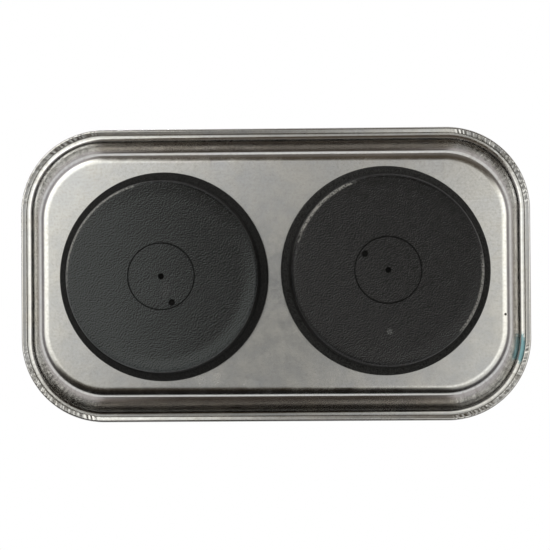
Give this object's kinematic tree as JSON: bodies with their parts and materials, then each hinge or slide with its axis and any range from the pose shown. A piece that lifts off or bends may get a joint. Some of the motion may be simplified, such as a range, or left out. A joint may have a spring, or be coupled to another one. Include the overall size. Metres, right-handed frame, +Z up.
{
  "type": "magnetic parts tray",
  "caption": "Shallow rectangular steel tray with a hemmed rim and sloping walls, held to metal surfaces by round rubber-covered magnet bases under it, for small parts and tools.",
  "frame": {"origin": "middle of the tray, on the surface that the two covers rest on", "axes": "+X along the tray's length, +Y across it, +Z up out of the open tray"},
  "size_m": [0.24, 0.138, 0.038],
  "materials": {
    "stainless": "satin",
    "black_rubber": "matte",
    "ferrite": "matte",
    "plated_steel": "satin"
  },
  "bodies": {
    "root": {"tray_pan": "stainless", "left_weld_stud": "plated_steel", "right_weld_stud": "plated_steel", "left_ring_magnet": "ferrite", "right_ring_magnet": "ferrite", "left_keeper_plate": "plated_steel", "right_keeper_plate": "plated_steel", "left_flat_washer": "plated_steel", "right_flat_washer": "plated_steel", "left_spring_washer": "plated_steel", "right_spring_washer": "plated_steel", "left_hex_nut": "plated_steel", "right_hex_nut": "plated_steel", "left_magnet_cover": "black_rubber", "right_magnet_cover": "black_rubber"}
  },
  "joints": []
}
